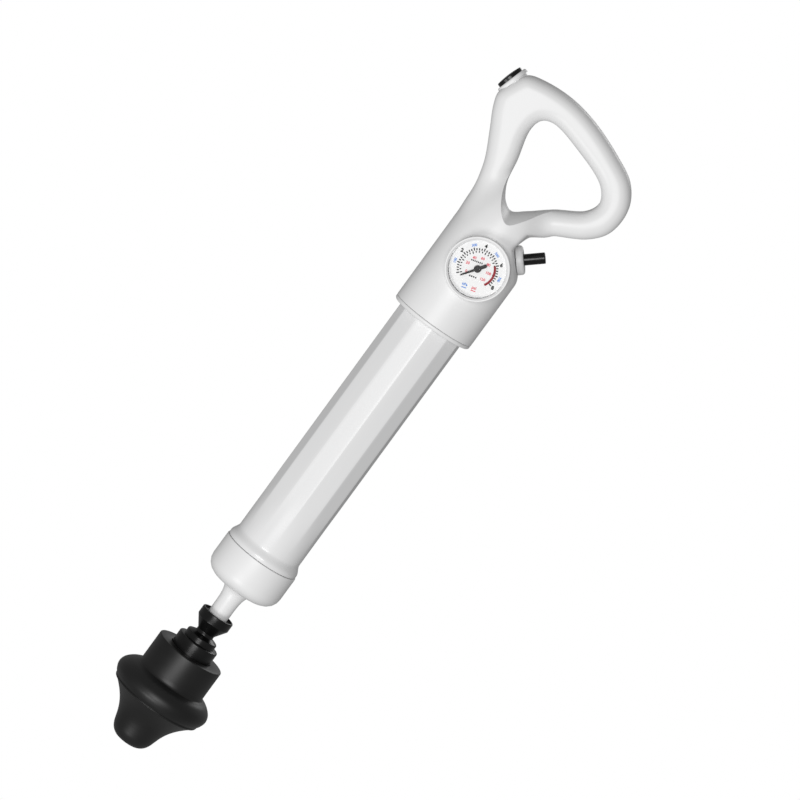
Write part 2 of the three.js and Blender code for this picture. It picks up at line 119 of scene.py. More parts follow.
def rounded(profile, steps=5):
    """The profile with each corner given as (r, z, fillet) turned into an arc."""
    count = len(profile)
    made = []
    for i, point in enumerate(profile):
        here = np.array(point[:2], float)
        fillet = point[2] if len(point) > 2 else 0
        if not fillet:
            made.append(tuple(here))
            continue
        before = np.array(profile[i - 1][:2], float) - here
        after = np.array(profile[(i + 1) % count][:2], float) - here
        a, b = before / np.linalg.norm(before), after / np.linalg.norm(after)
        half = math.acos(max(-1, min(1, float(a @ b)))) / 2
        reach = min(fillet / math.tan(half), 0.49 * min(np.linalg.norm(before), np.linalg.norm(after)))
        radius = reach * math.tan(half)
        centre = here + (a + b) / np.linalg.norm(a + b) * (radius / math.sin(half))
        start, end = here + a * reach - centre, here + b * reach - centre
        angle = math.acos(max(-1, min(1, float(start @ end) / radius**2)))
        for k in range(steps + 1):
            s = k / steps
            made.append(tuple(centre + (math.sin((1 - s) * angle) * start + math.sin(s * angle) * end)
                              / math.sin(angle)))
    return made


# ---------------------------------------------------------------- meshes


def mesh_object(name, vertices, faces, sharp=35):
    """A new object from vertices in millimetres, smooth shaded but for edges sharper than that angle."""
    mesh = bpy.data.meshes.new(name)
    mesh.from_pydata([tuple(v) for v in np.asarray(vertices) * MM], [], [tuple(f) for f in faces])
    obj = bpy.data.objects.new(name, mesh)
    bpy.context.scene.collection.objects.link(obj)
    finish_mesh(obj, sharp)
    return obj


def finish_mesh(obj, sharp=35):
    """Merges doubled points, turns the faces outwards and marks the sharp edges."""
    bm = bmesh.new()
    bm.from_mesh(obj.data)
    bmesh.ops.remove_doubles(bm, verts=bm.verts, dist=1e-6)
    bmesh.ops.dissolve_degenerate(bm, edges=bm.edges, dist=1e-6)
    bmesh.ops.recalc_face_normals(bm, faces=bm.faces)
    bm.to_mesh(obj.data)
    bm.free()
    obj.data.shade_smooth()
    obj.data.set_sharp_from_angle(angle=math.radians(sharp))


def aimed(origin, direction):
    """Matrix that takes local +Z to the given direction, from an origin in millimetres."""
    turn = Vector((0, 0, 1)).rotation_difference(Vector(direction).normalized())
    return Matrix.Translation(Vector(origin) * MM) @ turn.to_matrix().to_4x4()


def facing_front(origin):
    """Matrix whose local x runs right, y up and z towards the viewer in front."""
    return Matrix.Translation(Vector(origin) * MM) @ Matrix.Rotation(math.pi / 2, 4, "X")


def turned(name, profile, matrix=Matrix.Identity(4), segments=ROUND, sharp=35):
    """A turned solid about the matrix's +Z. The profile lists (radius, height[, fillet]) in millimetres."""
    points = rounded(profile)
    closed = points[0][0] > 1e-6
    vertices, faces = [], []
    for k in range(segments):
        angle = FULL_TURN * k / segments
        vertices += [(r * math.cos(angle), r * math.sin(angle), z) for r, z in points]
    count = len(points)
    for k in range(segments):
        a, b = k * count, (k + 1) % segments * count
        for i in range(count if closed else count - 1):
            j = (i + 1) % count
            faces.append((a + i, b + i, b + j, a + j))
    obj = mesh_object(name, vertices, faces, sharp)
    obj.data.transform(matrix)
    return obj


def extruded(name, outline, low, high, matrix=Matrix.Identity(4), bevel=0.0):
    """A flat plate from an outline in the matrix's xy plane, between two heights in millimetres."""
    count = len(outline)
    vertices = [(x, y, z) for z in (low, high) for x, y in outline]
    faces = [tuple(reversed(range(count))), tuple(range(count, 2 * count))]
    faces += [(i, (i + 1) % count, count + (i + 1) % count, count + i) for i in range(count)]
    obj = mesh_object(name, vertices, faces)
    obj.data.transform(matrix)
    if bevel:
        add_bevel(obj, bevel)
    return obj


def add_bevel(obj, width, segments=2):
    """Rounds the sharp edges and applies it."""
    modifier = obj.modifiers.new("bevel", "BEVEL")
    modifier.width = width * MM
    modifier.segments = segments
    modifier.limit_method = "ANGLE"
    modifier.angle_limit = math.radians(40)
    apply_modifiers(obj)
    finish_mesh(obj)


def apply_modifiers(obj):
    """Swaps the mesh for what its modifiers make of it."""
    bpy.context.view_layer.update()
    made = bpy.data.meshes.new_from_object(obj.evaluated_get(bpy.context.evaluated_depsgraph_get()))
    obj.modifiers.clear()
    old, obj.data = obj.data, made
    bpy.data.meshes.remove(old)


def cut(obj, tool, operation="DIFFERENCE"):
    """Cuts the tool from the object, or joins or intersects them, and deletes the tool."""
    modifier = obj.modifiers.new("cut", "BOOLEAN")
    modifier.operation = operation
    modifier.solver = "MANIFOLD"
    modifier.object = tool
    apply_modifiers(obj)
    bpy.data.objects.remove(tool)


def box_tool(low, high):
    """A box between two corners in millimetres."""
    vertices = [(x, y, z) for x in (low[0], high[0]) for y in (low[1], high[1]) for z in (low[2], high[2])]
    faces = [(0, 1, 3, 2), (4, 6, 7, 5), (0, 4, 5, 1), (2, 3, 7, 6), (0, 2, 6, 4), (1, 5, 7, 3)]
    return mesh_object("tool", vertices, faces)


def disc_tool(radius, low, high, matrix=Matrix.Identity(4), segments=ROUND):
    """A cylinder about the matrix's +Z, between two heights in millimetres."""
    return turned("tool", [(0, low), (radius, low), (radius, high), (0, high)], matrix, segments)


def place(obj, body, slot, material, *nodes):
    """Gives a piece its material and body, and lets it stand for the CAD nodes. The slot argument is not used."""
    obj.data.materials.clear()
    obj.data.materials.append(material)
    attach(obj, body)
    if nodes:
        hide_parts(*nodes)
    return obj


# ---------------------------------------------------------------- materials


def shader(name, colour, roughness, **sockets):
    """A plain material; further sockets are named with underscores."""
    material = bpy.data.materials.new(name)
    material.use_nodes = True
    principled = material.node_tree.nodes["Principled BSDF"]
    principled.inputs["Base Color"].default_value = (*colour, 1)
    principled.inputs["Roughness"].default_value = roughness
    for label, value in sockets.items():
        principled.inputs[label.replace("_", " ")].default_value = value
    return material


def add_noise(material, scale, detail=3.0, stretch=(1, 1, 1)):
    """Noise in object space, with features of about 1 / scale metres."""
    tree = material.node_tree
    place_node = tree.nodes.new("ShaderNodeTexCoord")
    mapping = tree.nodes.new("ShaderNodeMapping")
    mapping.inputs["Scale"].default_value = stretch
    noise = tree.nodes.new("ShaderNodeTexNoise")
    noise.inputs["Scale"].default_value = scale
    noise.inputs["Detail"].default_value = detail
    tree.links.new(place_node.outputs["Object"], mapping.inputs["Vector"])
    tree.links.new(mapping.outputs["Vector"], noise.inputs["Vector"])
    return noise


def add_bump(material, noise, strength, distance):
    """Height from the noise, laid over any bump the material has already."""
    tree = material.node_tree
    principled = tree.nodes["Principled BSDF"]
    bump = tree.nodes.new("ShaderNodeBump")
    bump.inputs["Strength"].default_value = strength
    bump.inputs["Distance"].default_value = distance
    earlier = principled.inputs["Normal"].links
    if earlier:
        tree.links.new(earlier[0].from_socket, bump.inputs["Normal"])
    tree.links.new(noise.outputs["Fac"], bump.inputs["Height"])
    tree.links.new(bump.outputs["Normal"], principled.inputs["Normal"])


def spread(material, noise, low, high, socket):
    """Drives a plain number socket by the noise, between two values."""
    tree = material.node_tree
    ramp = tree.nodes.new("ShaderNodeMapRange")
    ramp.inputs["From Min"].default_value = 0.3
    ramp.inputs["From Max"].default_value = 0.7
    ramp.inputs["To Min"].default_value = low
    ramp.inputs["To Max"].default_value = high
    tree.links.new(noise.outputs["Fac"], ramp.inputs["Value"])
    tree.links.new(ramp.outputs["Result"], tree.nodes["Principled BSDF"].inputs[socket])


def tint(material, noise, dark, light):
    """Base colour that wanders between two close colours."""
    tree = material.node_tree
    ramp = tree.nodes.new("ShaderNodeValToRGB")
    ramp.color_ramp.elements[0].position = 0.3
    ramp.color_ramp.elements[0].color = (*dark, 1)
    ramp.color_ramp.elements[1].position = 0.7
    ramp.color_ramp.elements[1].color = (*light, 1)
    tree.links.new(noise.outputs["Fac"], ramp.inputs["Fac"])
    tree.links.new(ramp.outputs["Color"], tree.nodes["Principled BSDF"].inputs["Base Color"])


def white_plastic():
    """Moulded white body: satin, with a fine spark-eroded texture and very faint flow marks."""
    material = shader("white_plastic", (0.86, 0.86, 0.86), 0.38, Specular_IOR_Level=0.45)
    flow = add_noise(material, 28, 4, (1, 1, 0.35))
    tint(material, flow, (0.845, 0.845, 0.848), (0.875, 0.875, 0.874))
    spread(material, flow, 0.34, 0.42, "Roughness")
    add_bump(material, add_noise(material, 1500, 2), 0.05, 0.0002)
    return material


def barrel_plastic():
    """Barrel: opaque, milky white and glossy, with faint draw marks along it."""
    material = shader("barrel_plastic", (0.84, 0.84, 0.84), 0.2, Specular_IOR_Level=0.5,
                      Coat_Weight=0.15, Coat_Roughness=0.15)
    streaks = add_noise(material, 60, 3, (1, 1, 0.08))
    tint(material, streaks, (0.825, 0.826, 0.83), (0.855, 0.855, 0.856))
    spread(material, streaks, 0.22, 0.3, "Roughness")
    add_bump(material, add_noise(material, 120, 2, (1, 1, 0.04)), 0.01, 0.0004)
    return material


def black_plastic():
    """Smooth glossy black plastic of the adapter, the button and the relief stem."""
    material = shader("black_plastic", (0.003, 0.003, 0.003), 0.25, Specular_IOR_Level=0.4)
    wear = add_noise(material, 90, 5)
    tint(material, wear, (0.002, 0.002, 0.002), (0.005, 0.005, 0.005))
    spread(material, wear, 0.2, 0.32, "Roughness")
    add_bump(material, add_noise(material, 900, 2), 0.04, 0.0002)
    return material


def black_rubber():
    """Matt moulded rubber with a fine grain and a faint bloom."""
    material = shader("black_rubber", (0.004, 0.004, 0.004), 0.4, Specular_IOR_Level=0.5)
    bloom = add_noise(material, 35, 5)
    tint(material, bloom, (0.003, 0.003, 0.003), (0.006, 0.006, 0.006))
    spread(material, bloom, 0.38, 0.47, "Roughness")
    add_bump(material, add_noise(material, 1100, 3), 0.08, 0.0002)
    return material


def metal(name, colour, roughness, stretch):
    """Metal with a fine grain, drawn out along an axis by the stretch."""
    material = shader(name, colour, roughness, Metallic=1.0)
    grain = add_noise(material, 500, 4, stretch)
    spread(material, grain, roughness - 0.08, roughness + 0.1, "Roughness")
    tint(material, grain, tuple(c * 0.93 for c in colour), colour)
    add_bump(material, grain, 0.08, 0.0001)
    return material


def printed(name, colour, roughness=0.5):
    """Flat paint or card that hardly shines."""
    material = shader(name, colour, roughness, Specular_IOR_Level=0.08)
    grain = add_noise(material, 2500, 2)
    tint(material, grain, tuple(c * 0.96 for c in colour), colour)
    spread(material, grain, roughness - 0.05, roughness + 0.05, "Roughness")
    return material


def lens_plastic():
    """Clear window of the gauge."""
    material = shader("lens_plastic", (1, 1, 1), 0.04, Alpha=0.02, Specular_IOR_Level=0.3)
    haze = add_noise(material, 80, 3)
    spread(material, haze, 0.03, 0.07, "Roughness")
    return material


WHITE = white_plastic()
BARREL = barrel_plastic()
BLACK = black_plastic()
RUBBER = black_rubber()
SEAL = black_rubber()
SEAL.name = "seal_rubber"
BRASS = metal("brass", (0.72, 0.5, 0.2), 0.32, (1, 1, 0.1))
STEEL = metal("zinc_steel", (0.56, 0.57, 0.58), 0.34, (1, 1, 1))
ALUMINIUM = metal("drawn_aluminium", (0.8, 0.81, 0.82), 0.3, (1, 1, 0.03))
CARD = printed("dial_card", (0.97, 0.97, 0.97), 0.6)
INK_BLACK = printed("ink_black", (0.006, 0.008, 0.006), 0.7)
INK_RED = printed("ink_red", (0.3, 0.003, 0.012), 0.7)
INK_PINK = printed("ink_light_red", (0.8, 0.03, 0.07), 0.7)
INK_BLUE = printed("ink_blue", (0.05, 0.25, 0.75), 0.7)
NEEDLE = printed("needle_paint", (0.01, 0.01, 0.01), 0.3)
LENS = lens_plastic()

SLOT_MATERIALS = {
    "white_plastic": WHITE, "barrel_plastic": BARREL, "black_plastic": BLACK, "black_rubber": RUBBER,
    "seal_rubber": SEAL, "brass": BRASS, "screw_steel": STEEL, "aluminium": ALUMINIUM,
    "dial_face": CARD, "needle_black": NEEDLE, "lens": LENS,
}


def dress_cad_nodes():
    """Every CAD node gets its slot's procedural material."""
    for part in frame["record"]["subparts"]:
        data = frame["nodes"][part["node"]].data
        data.materials.clear()
        data.materials.append(SLOT_MATERIALS[part["material_slot"]])


# ---------------------------------------------------------------- handle shells

WALL = 2.6
PARTING_GAP = 0.12
SLEEVE_RADIUS = in_mm("sleeve_mouth_ring")[1].x
SLEEVE_BOTTOM = in_mm("handle_front_shell")[0].z
LOOP_TOP = in_mm("handle_front_shell")[1].z
LOOP_HALF_DEPTH = 15.5
LOOP_ROUNDING = 9.0
BLEND = 8.0
SHOULDER_ROUNDING = 3
# The saddle under the hand hole starts to fall this far from the middle, over this span, by this much.
SADDLE_START = 6
SADDLE_SPAN = 21
SADDLE_FALL = 5.7
SADDLE_SLOPE = (0.5, -0.85)
# Grid steps of the handle's outer form and of its hollow.
FORM_STEP = 1.4
HOLLOW_STEP = 2.3

LOOP = [
    (-31.7, 464.4), (-37.4, 484.6), (-46.3, 502.6), (-54.9, 519.2), (-57.1, 528),
    (-53, 540), (-47.4, 548.6), (-36.2, 552.2), (-14.2, 553.7), (7.6, 550.3), (34.5, 540.7),
    (54.4, 529.9), (64, 514.5), (63.2, 495), (53.6, 482.2), (31.1, 468.8),
    (17.9, 459.6), (12, 450), (4, 440), (-10, 437), (-21.5, 441), (-28.2, 451.5),
]
HOLE = [
    (-1.5, 465.2), (7.2, 471.3), (22.2, 483.8), (41, 496.7), (44.9, 506.7), (38.2, 517), (10.3, 528),
    (-13.5, 532.7), (-21.2, 529.1), (-23.8, 519), (-18.5, 496), (-15.2, 477.2), (-8.1, 468),
]
SHOULDER = [
    (34, 425.5), (32, 428.3), (15.4, 447), (16.4, 452.4), (17.9, 460.5), (31.1, 470.0), (53.6, 483.4),
    (90, 484), (90, 425.5),
]
CROWN = [
    (SLEEVE_RADIUS, 441), (SLEEVE_RADIUS - 0.8, 453), (28.5, 465), (24, 476), (17, 485), (8, 490.5), (0, 492),
]


def signed_distance(x, y, polygon):
    """Distance from points to a closed polygon, negative inside."""
    nearest = np.full(x.shape, np.inf)
    inside = np.zeros(x.shape, bool)
    for (ax, ay), (bx, by) in zip(polygon, np.roll(polygon, -1, axis=0)):
        ex, ey = bx - ax, by - ay
        t = np.clip(((x - ax) * ex + (y - ay) * ey) / (ex * ex + ey * ey), 0, 1)
        nearest = np.minimum(nearest, (x - ax - ex * t) ** 2 + (y - ay - ey * t) ** 2)
        crosses = (ay > y) != (by > y)
        inside ^= crosses & (x < ax + ex * (y - ay) / (ey if ey else 1e-12))
    return np.where(inside, -1, 1) * np.sqrt(nearest)


class PlaneField:
    """Signed distance to an outline, held on a fine grid and read between its points."""

    def __init__(self, polygon, low, high, step=0.5):
        self.low, self.step = np.array(low, float), step
        counts = [int((b - a) / step) + 2 for a, b in zip(low, high)]
        axes = [self.low[i] + step * np.arange(counts[i]) for i in range(2)]
        self.values = signed_distance(*np.meshgrid(*axes, indexing="ij"), polygon)

    def __call__(self, x, y):
        u = np.clip((x - self.low[0]) / self.step, 0, self.values.shape[0] - 1.001)
        v = np.clip((y - self.low[1]) / self.step, 0, self.values.shape[1] - 1.001)
        i, j = u.astype(int), v.astype(int)
        s, t = u - i, v - j
        g = self.values
        return ((g[i, j] * (1 - s) + g[i + 1, j] * s) * (1 - t)
                + (g[i, j + 1] * (1 - s) + g[i + 1, j + 1] * s) * t)


def smooth_min(a, b, reach):
    """The lesser of two fields, blended where they are within reach of each other."""
    h = np.maximum(reach - np.abs(a - b), 0) / reach
    return np.minimum(a, b) - h * h * reach / 4


def smooth_max(a, b, reach):
    """The greater of two fields, blended in the same way."""
    return -smooth_min(-a, -b, reach)


def handle_field():
    """Distance fields of the outside, before the hole is cut through the round body, and of the hollow."""
    low, high = (-75, 355), (85, 570)
    loop = PlaneField(smooth_closed(LOOP), low, high)
    hole = PlaneField(smooth_closed(HOLE), low, high)
    shoulder = PlaneField(np.array(SHOULDER), low, high)
    crown = smooth_open(CROWN)
    half = [(SLEEVE_RADIUS, SLEEVE_BOTTOM - 8), *crown]
    body = PlaneField(np.array(half + [(-r, z) for r, z in reversed(half[:-1])]), (-1, 355), (85, 570))

    def outside(x, y, z):
        flat = np.maximum(loop(x, z), -hole(x, z)) + LOOP_ROUNDING
        deep = np.abs(y) - LOOP_HALF_DEPTH + LOOP_ROUNDING
        bars = np.minimum(np.maximum(flat, deep), 0) - LOOP_ROUNDING
        bars = bars + np.hypot(np.maximum(flat, 0), np.maximum(deep, 0))
        trunk = smooth_max(body(np.hypot(x, y), z), -shoulder(x, z), SHOULDER_ROUNDING)
        return smooth_min(bars, trunk, BLEND)

    def inside(x, y, z):
        dx, dz = saddle_drop(y)
        return np.maximum(outside(x, y, z), -hole(x - dx, z - dz)) + WALL

    return outside, inside


CELL_CORNERS = [(i, j, k) for i in (0, 1) for j in (0, 1) for k in (0, 1)]


def surface_net(name, field, low, high, step):
    """A closed mesh of the field's zero surface: one vertex in each cell it crosses, pulled onto it."""
    axes = [np.arange(a, b + step, step) for a, b in zip(low, high)]
    grid = field(*np.meshgrid(*axes, indexing="ij"))
    inside = grid < 0
    cells = [tuple(slice(c, c - 1 or None) for c in corner) for corner in CELL_CORNERS]
    count = sum(inside[c].astype(int) for c in cells)
    mixed = (count > 0) & (count < 8)
    index = np.full(mixed.shape, -1)
    index[mixed] = np.arange(mixed.sum())
    points = np.array(low) + crossing_points(grid, np.argwhere(mixed)) * step
    points = pull_onto(field, points, step)
    faces = np.concatenate([crossing_faces(inside, index, axis) for axis in range(3)])
    return mesh_object(name, points, faces.tolist())


def crossing_points(grid, where):
    """Mean of the surface's crossings with the edges of each listed cell, in grid steps."""
    points = np.zeros((len(where), 3))
    weights = np.zeros(len(where))
    for a in CELL_CORNERS:
        for axis in range(3):
            if a[axis]:
                continue
            b = tuple(c + (i == axis) for i, c in enumerate(a))
            va, vb = (grid[tuple((where + np.array(c)).T)] for c in (a, b))
            cross = (va < 0) != (vb < 0)
            t = np.where(cross, va / np.where(cross, va - vb, 1), 0)
            points += (np.array(a) + t[:, None] * np.eye(3)[axis]) * cross[:, None]
            weights += cross
    return where + points / weights[:, None]


def crossing_faces(inside, index, axis):
    """A quad round each grid edge along the axis that crosses the surface."""
    one, two = (axis + 1) % 3, (axis + 2) % 3
    shape = [slice(1, -1)] * 3
    shape[axis] = slice(0, -1)
    nearer = inside[tuple(shape)]
    shape[axis] = slice(1, None)
    further = inside[tuple(shape)]
    edges = np.argwhere(nearer != further)
    flip = nearer[tuple(edges.T)]
    base = edges + 1
    base[:, axis] -= 1
    quad = []
    for d1, d2 in ((-1, -1), (0, -1), (0, 0), (-1, 0)):
        cell = base.copy()
        cell[:, one] += d1
        cell[:, two] += d2
        quad.append(index[tuple(cell.T)])
    quad = np.stack(quad, 1)
    return np.where(flip[:, None], quad, quad[:, ::-1])


def pull_onto(field, points, step, rounds=4):
    """Moves points along the field's slope until they lie on its zero surface."""
    small = step * 0.2
    for _ in range(rounds):
        value = field(*points.T)
        slope = np.stack([
            field(*(points + small * e).T) - field(*(points - small * e).T) for e in np.eye(3)
        ], 1) / (2 * small)
        length = np.maximum((slope**2).sum(1), 0.05)
        move = -(value / length)[:, None] * slope
        points = points + np.clip(move, -step / 2, step / 2)
    return points


def saddle_drop(y):
    """How far the saddle falls towards the front and the back, towards the loop's nose."""
    fall = SADDLE_FALL * (np.maximum(np.abs(y) - SADDLE_START, 0) / SADDLE_SPAN) ** 2
    return SADDLE_SLOPE[0] * fall, SADDLE_SLOPE[1] * fall


def hole_tool(outline, reach=42, steps=56):
    """The hand hole as a tool across the handle: its outline slides down towards the front and back."""
    slices = np.linspace(-reach, reach, steps + 1)
    count = len(outline)
    vertices = []
    for y in slices:
        dx, dz = saddle_drop(y)
        vertices += [(x + dx, y, z + dz) for x, z in outline]
    last = (len(slices) - 1) * count
    faces = [tuple(range(count)), tuple(reversed(range(last, last + count)))]
    for k in range(len(slices) - 1):
        for i in range(count):
            j = (i + 1) % count
            faces.append((k * count + i, (k + 1) * count + i, (k + 1) * count + j, k * count + j))
    return mesh_object("tool", vertices, faces)


GAUGE_CENTRE = Vector(joint("needle_turn")["pos_m"]) / MM
GAUGE_CENTRE.y = 0
GAUGE_RADIUS = (in_mm("gauge_bezel")[1].x - in_mm("gauge_bezel")[0].x) / 2
CASE_RADIUS = (in_mm("gauge_case")[1].x - in_mm("gauge_case")[0].x) / 2
GAUGE_FRONT = -in_mm("gauge_bezel")[0].y
BEZEL_BACK = -in_mm("gauge_bezel")[1].y
GAUGE = facing_front(GAUGE_CENTRE)

THUMB_OUT = -Vector(joint("thumb_press")["axis"])
THUMB = aimed((-52.3, 0, 539.1), THUMB_OUT)
THUMB_SLEEVE_RADIUS = 10.6
THUMB_COLLAR_RADIUS = 12.2
RELIEF_OUT = -Vector(joint("relief_press")["axis"])
RELIEF = aimed((26, 0, 443.6), RELIEF_OUT)
RELIEF_COLLAR_RADIUS = 10.4
RELIEF_SEAT_RADIUS = 5.4

SCREW_NODES = sorted(n for n in frame["nodes"] if n.startswith("body_screw"))
# Screw bosses run between these depths; the heads sit on a counterbore's floor at HEAD_SEAT.
SCREW_BOSS_RADIUS = 4.4
SCREW_BOSS = (-11.8, 12.9)
SCREW_PILOT_RADIUS = 1.7
HEAD_SEAT = 9
HEAD_BORE_RADIUS = 3.5


def screw_matrix(node):
    """Matrix of a body screw: local +Z points to the rear, from the middle plane."""
    low, high = in_mm(node)
    return aimed(((low.x + high.x) / 2, 0, (low.z + high.z) / 2), (0, 1, 0))


def handle_form():
    """The whole handle as one hollow solid, bored for what it holds."""
    outside, inside = handle_field()
    low = (-64, -38, SLEEVE_BOTTOM - 11)
    high = (72, 38, LOOP_TOP + 5)
    form = surface_net("handle_form", outside, low, high, FORM_STEP)
    cut(form, hole_tool(smooth_closed(HOLE)))
    cut(form, box_tool((-90, -90, 300), (90, 90, SLEEVE_BOTTOM)))
    hollow = surface_net("tool", inside, low, high, HOLLOW_STEP)
    cut(form, hollow)
    for node in SCREW_NODES:
        cut(form, disc_tool(SCREW_BOSS_RADIUS, *SCREW_BOSS, screw_matrix(node), 32), "UNION")
        cut(form, disc_tool(SCREW_PILOT_RADIUS, -9, 16, screw_matrix(node), 24))
        cut(form, disc_tool(HEAD_BORE_RADIUS, HEAD_SEAT, 20, screw_matrix(node), 48))
    boss = disc_tool(GAUGE_RADIUS, 8, BEZEL_BACK - GAP, GAUGE)
    cut(boss, disc_tool(SLEEVE_RADIUS - 2, 380, 470))
    cut(form, boss, "UNION")
    cut(form, disc_tool(CASE_RADIUS + GAP, 8, 60, GAUGE))
    cut(form, disc_tool(RELIEF_SEAT_RADIUS, -15, 5, RELIEF, 48))
    cut(form, disc_tool(RELIEF_COLLAR_RADIUS + GAP, -5.5, 5, RELIEF))
    cut(form, disc_tool(THUMB_SLEEVE_RADIUS + GAP, -12, 20, THUMB))
    cut(form, disc_tool(THUMB_COLLAR_RADIUS + 0.1, 0, 20, THUMB))
    return form


def handle_shells():
    """Front and rear shells: the handle's form parted at its middle plane."""
    form = handle_form()
    for side, label in ((-1, "front"), (1, "rear")):
        half = form.copy()
        half.data = form.data.copy()
        half.name = f"handle_shell_{label}"
        bpy.context.scene.collection.objects.link(half)
        near, far = sorted((side * PARTING_GAP, side * 90))
        cut(half, box_tool((-90, near, 300), (90, far, 600)), "INTERSECT")
        half.data.shade_smooth()
        half.data.set_sharp_from_angle(angle=math.radians(32))
        place(half, "handle", "white_plastic", WHITE, f"handle_{label}_shell")
    bpy.data.objects.remove(form)


def sleeve_mouth():
    """Ring at the sleeve's mouth: a fine groove under the shells, then a rounded lip."""
    low, high = in_mm("sleeve_mouth_ring")
    rim = SLEEVE_BOTTOM - GAP
    inner = BARREL_CORNER + 0.5
    outer = SLEEVE_RADIUS - 0.1
    lip = SLEEVE_RADIUS - WALL - GAP
    ring = turned("sleeve_mouth", [
        (inner, low.z, 0.4), (outer - 0.8, low.z, 0.5), (outer, low.z + 1.0, 0.4),
        (outer, rim, 0.7), (lip, rim), (lip, high.z), (inner, high.z),
    ])
    return place(ring, "handle", "white_plastic", WHITE, "sleeve_mouth_ring")


def screws():
    """Pan heads with a cross recess, seen down their counterbores on the rear."""
    cross = [(-1.7, -0.35), (1.7, -0.35), (1.7, 0.35), (-1.7, 0.35)]
    seat = HEAD_SEAT + GAP
    head_top = seat + 2.3
    for index, node in enumerate(SCREW_NODES):
        matrix = screw_matrix(node)
        screw = turned(f"cross_screw_{index + 1}", [
            (0, -8), (0.6, -7.2), (1.4, -6), (1.4, seat), (3.2, seat, 0.2), (3.2, seat + 1.3, 0.9),
            (0, head_top),
        ], matrix, 48)
        for turn in (0, math.pi / 2):
            arm = matrix @ Matrix.Rotation(turn + 0.4, 4, "Z")
            cut(screw, extruded("tool", cross, head_top - 1.3, head_top + 1.4, arm))
        finish_mesh(screw)
        place(screw, "handle", "screw_steel", STEEL, node)


# ---------------------------------------------------------------- barrel and outlet


BARREL_CORNER = 25.9
BARREL_BORE = 21.5
BARREL_FLATS = 12
PER_FLAT = 16
BARREL_TURN = math.radians(7)
FOOT_RADIUS = 26.6
FLARE_RADIUS = 28.4
# Above the cap come the flare's straight rim, its fall to the barrel, and the run where the flats appear.
FLARE_RIM = 2.2
FLARE_FALL = 7.5
FADE_RUN = 50
ROUND_SINK = 0.35


def eased(share):
    """Goes from 0 to 1 with a level start and end."""
    return share * share * (3 - 2 * share)


def barrel_rows():
    """Rows from the foot up and down the bore: height, round radius, how far it has become twelve-sided."""
    low, high = in_mm("barrel_tube")
    cap_top = in_mm("end_cap")[1].z
    rim = cap_top + GAP
    neck = BARREL_CORNER - ROUND_SINK
    rows = [(low.z, FOOT_RADIUS, 0), (rim, FOOT_RADIUS, 0), (rim, FLARE_RADIUS - 0.3, 0)]
    rows += [(rim + 0.3, FLARE_RADIUS, 0), (cap_top + FLARE_RIM, FLARE_RADIUS, 0)]
    for k in range(1, 15):
        share = k / 14
        radius = FLARE_RADIUS + (neck - FLARE_RADIUS) * eased(share)
        rows.append((cap_top + FLARE_RIM + FLARE_FALL * share, radius, 0))
    for k in range(1, 21):
        share = k / 20
        height = cap_top + FLARE_RIM + FLARE_FALL + FADE_RUN * share
        rows.append((height, BARREL_CORNER - ROUND_SINK * (1 - share), eased(share)))
    rows += [(high.z - 1.2, BARREL_CORNER, 1), (high.z, BARREL_CORNER - 1.0, 1)]
    rows += [(high.z, BARREL_BORE + 0.6, 0), (high.z - 0.6, BARREL_BORE, 0), (low.z, BARREL_BORE, 0)]
    return rows


def barrel():
    """Twelve flats that run out into a round foot, with a flare above the end cap."""
    segments = BARREL_FLATS * PER_FLAT
    inradius = BARREL_CORNER * math.cos(math.pi / BARREL_FLATS)
    rows = barrel_rows()
    vertices, faces = [], []
    for z, radius, flatness in rows:
        for k in range(segments):
            angle = FULL_TURN * k / segments
            from_flat = (angle % (FULL_TURN / BARREL_FLATS)) - math.pi / BARREL_FLATS
            side = inradius / math.cos(from_flat) * (radius / BARREL_CORNER)
            side = float(smooth_min(np.array(side), np.array(radius * 0.997), 0.25))
            r = radius + (side - radius) * flatness
            vertices.append((r * math.sin(angle + BARREL_TURN), -r * math.cos(angle + BARREL_TURN), z))
    for i in range(len(rows)):
        a, b = i * segments, (i + 1) % len(rows) * segments
        for k in range(segments):
            n = (k + 1) % segments
            faces.append((a + k, a + n, b + n, b + k))
    tube = mesh_object("barrel_faceted", vertices, faces, 12)
    return place(tube, "barrel", "barrel_plastic", BARREL, "barrel_tube")


AIR_BORE = 4
SPOUT_RADIUS = 7.6
SPOUT_NECK_RADIUS = 6.5
HEAD_SOCKET_FLOOR = 60
HEAD_SOCKET_RADIUS = 16.3


def end_cap():
    """Cup with a large rounded bottom edge, over the barrel's foot."""
    low, high = in_mm("end_cap")
    radius = high.x
    inner = FOOT_RADIUS + GAP
    hole = SPOUT_NECK_RADIUS + GAP
    floor = low.z + 8.4
    cap = turned("barrel_end_cap", [
        (hole, low.z), (radius, low.z, 13), (radius, high.z, 0.5), (inner, high.z, 0.4),
        (inner, floor), (hole, floor),
    ])
    return place(cap, "barrel", "white_plastic", WHITE, "end_cap")


def spout():
    """Tube that flares out under the cap and passes through it."""
    low, high = in_mm("spout")
    root = in_mm("end_cap")[0].z - GAP
    outer, neck = SPOUT_RADIUS, SPOUT_NECK_RADIUS
    flare = smooth_open([(outer, root - 15), (7.9, root - 9.5), (8.9, root - 4.5), (11.2, root)])
    tube = turned("outlet_spout", [
        (AIR_BORE, low.z), (outer, low.z, 0.4), *flare, (neck, root), (neck, high.z, 0.5),
        (AIR_BORE, high.z),
    ], segments=96)
    return place(tube, "barrel", "white_plastic", WHITE, "spout")


